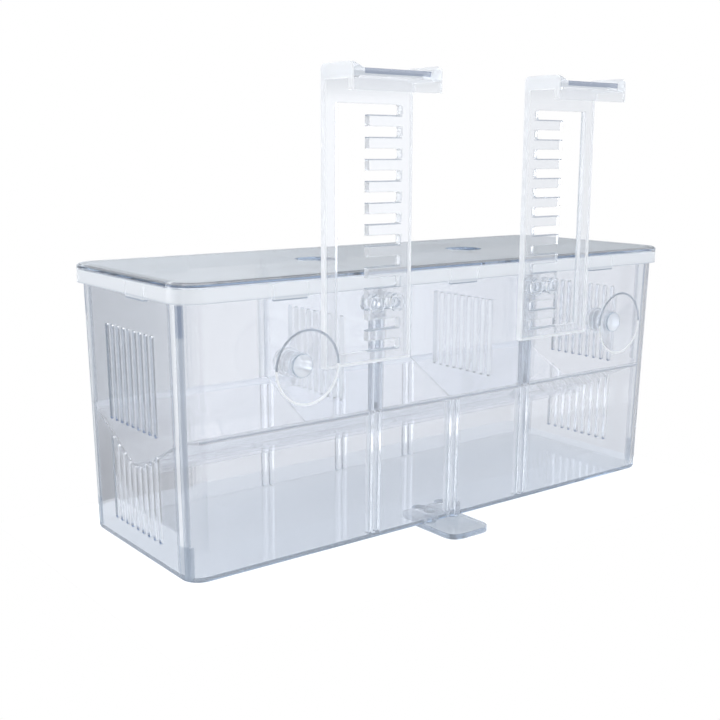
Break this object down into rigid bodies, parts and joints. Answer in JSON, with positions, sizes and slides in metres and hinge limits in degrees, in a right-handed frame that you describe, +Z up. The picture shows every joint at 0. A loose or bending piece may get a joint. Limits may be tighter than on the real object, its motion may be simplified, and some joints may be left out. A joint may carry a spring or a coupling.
{
  "type": "fish breeding box",
  "caption": "Clear hang-on fish breeding box with slotted ends, lift-off lid, V-shaped fry tray, dividers, comb hangers, suction cups and a stand-off foot.",
  "frame": {"origin": "centre of the tank's underside", "axes": "+X along the tank's length, -Y towards the aquarium glass that the hangers hook over, +Z up"},
  "size_m": [0.28, 0.1195, 0.2031],
  "materials": {
    "clear_shell": "clear, glossy, faintly blue-grey",
    "clear_insert": "clear, glossy",
    "clear_hanger": "clear, glossy, nearly colourless",
    "clear_soft": "soft clear vinyl"
  },
  "bodies": {
    "tank": {"tank": "clear_shell", "hanger_studs": "clear_hanger"},
    "lid": {"lid": "clear_shell"},
    "v_tray": {"v_tray": "clear_insert"},
    "divider_left": {"divider_left": "clear_insert"},
    "divider_right": {"divider_right": "clear_insert"},
    "hanger_left": {"hanger_left": "clear_hanger"},
    "hanger_right": {"hanger_right": "clear_hanger"},
    "suction_cup_left": {"suction_cup_left": "clear_soft"},
    "suction_cup_right": {"suction_cup_right": "clear_soft"},
    "foot": {"foot": "clear_hanger"}
  },
  "joints": [
    {"name": "lid_lift", "type": "slide", "parent": "tank", "child": "lid", "axis": [0, 0, 1], "range_m": [0, 0.18]},
    {"name": "divider_left_lift", "type": "slide", "parent": "tank", "child": "divider_left", "axis": [0, 0, 1], "range_m": [0, 0.13]},
    {"name": "divider_right_lift", "type": "slide", "parent": "tank", "child": "divider_right", "axis": [0, 0, 1], "range_m": [0, 0.13]},
    {"name": "tray_lift", "type": "slide", "parent": "tank", "child": "v_tray", "axis": [0, 0, 1], "range_m": [0, 0.1]},
    {"name": "hanger_left_shift", "type": "slide", "parent": "tank", "child": "hanger_left", "axis": [1, 0, 0], "range_m": [0, 0.016]},
    {"name": "hanger_right_shift", "type": "slide", "parent": "tank", "child": "hanger_right", "axis": [-1, 0, 0], "range_m": [0, 0.016]},
    {"name": "cup_left_turn", "type": "hinge", "parent": "tank", "child": "suction_cup_left", "pos_m": [-0.092, -0.0465, 0.084], "axis": [0, -1, 0], "continuous": true},
    {"name": "cup_right_turn", "type": "hinge", "parent": "tank", "child": "suction_cup_right", "pos_m": [0.092, -0.0465, 0.084], "axis": [0, -1, 0], "continuous": true},
    {"name": "foot_slide", "type": "slide", "parent": "tank", "child": "foot", "axis": [0, 1, 0], "range_m": [0, 0.008]}
  ],
  "couplings": [
    {"joint": "divider_left_lift", "follows": "lid_lift", "ratio": 0.72},
    {"joint": "divider_right_lift", "follows": "lid_lift", "ratio": 0.72},
    {"joint": "tray_lift", "follows": "lid_lift", "ratio": 0.55}
  ]
}
